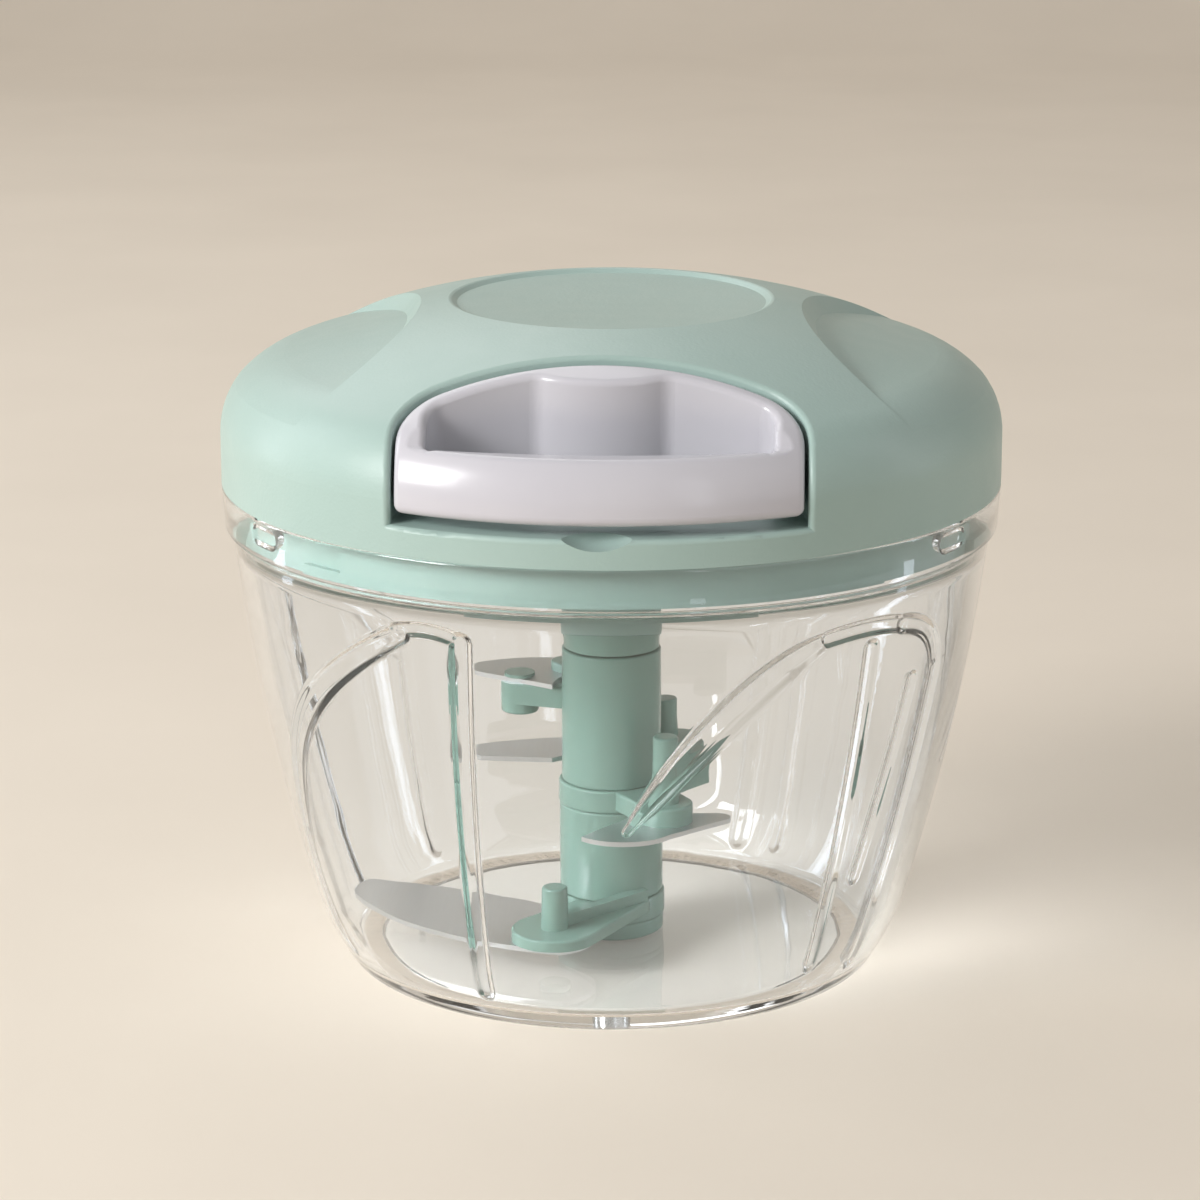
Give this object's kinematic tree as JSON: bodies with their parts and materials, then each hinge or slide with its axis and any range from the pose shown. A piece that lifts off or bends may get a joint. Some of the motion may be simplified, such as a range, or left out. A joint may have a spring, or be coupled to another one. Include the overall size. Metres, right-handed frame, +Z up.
{
  "type": "pull-string garlic chopper",
  "caption": "Small hand chopper: clear tapered bowl with moulded ribs, domed lid with a pull handle on a cord, and a toothed blade column that the cord spins.",
  "frame": {"origin": "centre of the bowl's foot on the table", "axes": "+Z up along the bowl's axis; the pull handle faces -Y; +X is to the right of someone who faces the handle"},
  "size_m": [0.13, 0.13, 0.1123],
  "materials": {
    "bowl_clear": "clear moulded plastic, polished",
    "lid_green": "mint green, fine satin",
    "handle_white": "pale grey-white, satin gloss",
    "blade_green": "mid green, glossy",
    "inner_white": "natural white acetal",
    "steel": "plain machined steel",
    "spring_steel": "drawn spring wire and strip",
    "blade_steel": "cold-rolled stainless sheet, ground edge",
    "seal_rubber": "translucent soft silicone",
    "cord_white": "braided nylon"
  },
  "bodies": {
    "bowl": {"bowl": "bowl_clear", "pivot_pin": "steel"},
    "seal": {"seal_ring": "seal_rubber"},
    "lid": {"lid_cover": "lid_green", "lid_base": "lid_green", "base_screws": "steel", "reel_axle": "steel", "reel_washer": "steel", "reel_screw": "steel", "cord_eyelet": "inner_white", "cord_lead": "cord_white", "cord_winding": "cord_white"},
    "handle": {"pull_handle": "handle_white", "cord_knot": "cord_white"},
    "reel": {"reel": "inner_white", "reel_cover": "inner_white", "return_spring": "spring_steel"},
    "hub": {"drive_hub": "inner_white", "clutch_spring": "spring_steel", "drive_dog": "blade_green", "dog_screw": "steel"},
    "clutch": {"clutch_ring": "inner_white"},
    "blades": {"blade_core": "blade_green", "lower_blade_holder": "blade_green", "lower_sleeve": "blade_green", "middle_blade_holder": "blade_green", "upper_sleeve": "blade_green", "blade_long": "blade_steel", "blade_front": "blade_steel", "blade_rear": "blade_steel", "blade_upper": "blade_steel", "blade_rivets": "blade_green"}
  },
  "joints": [
    {"name": "lid_lift", "type": "slide", "parent": "bowl", "child": "seal", "axis": [0, 0, 1], "range_m": [0, 0.08]},
    {"name": "lid_twist", "type": "hinge", "parent": "seal", "child": "lid", "pos_m": [0, 0, 0], "axis": [0, 0, 1], "range_deg": [-14, 0]},
    {"name": "handle_pull", "type": "slide", "parent": "lid", "child": "handle", "axis": [0, -1, 0], "range_m": [0, 0.3], "stiffness_N_per_m": 23, "springref_m": -0.13},
    {"name": "reel_spin", "type": "hinge", "parent": "lid", "child": "reel", "pos_m": [0, 0, 0], "axis": [0, 0, 1], "range_deg": [-755, 0]},
    {"name": "hub_spin", "type": "hinge", "parent": "lid", "child": "hub", "pos_m": [0, 0, 0], "axis": [0, 0, 1], "range_deg": [-755, 0]},
    {"name": "clutch_release", "type": "slide", "parent": "hub", "child": "clutch", "axis": [0, 0, -1], "range_m": [0, 0.0022], "stiffness_N_per_m": 300, "springref_m": -0.002, "deforming": ["clutch_spring"]},
    {"name": "blade_spin", "type": "hinge", "parent": "bowl", "child": "blades", "pos_m": [0, 0, 0], "axis": [0, 0, 1], "range_deg": [-755, 0]}
  ],
  "couplings": [
    {"joint": "reel_spin", "follows": "handle_pull", "rad_per_m": -43.764},
    {"joint": "hub_spin", "follows": "handle_pull", "rad_per_m": -43.764},
    {"joint": "blade_spin", "follows": "handle_pull", "rad_per_m": -43.764}
  ]
}
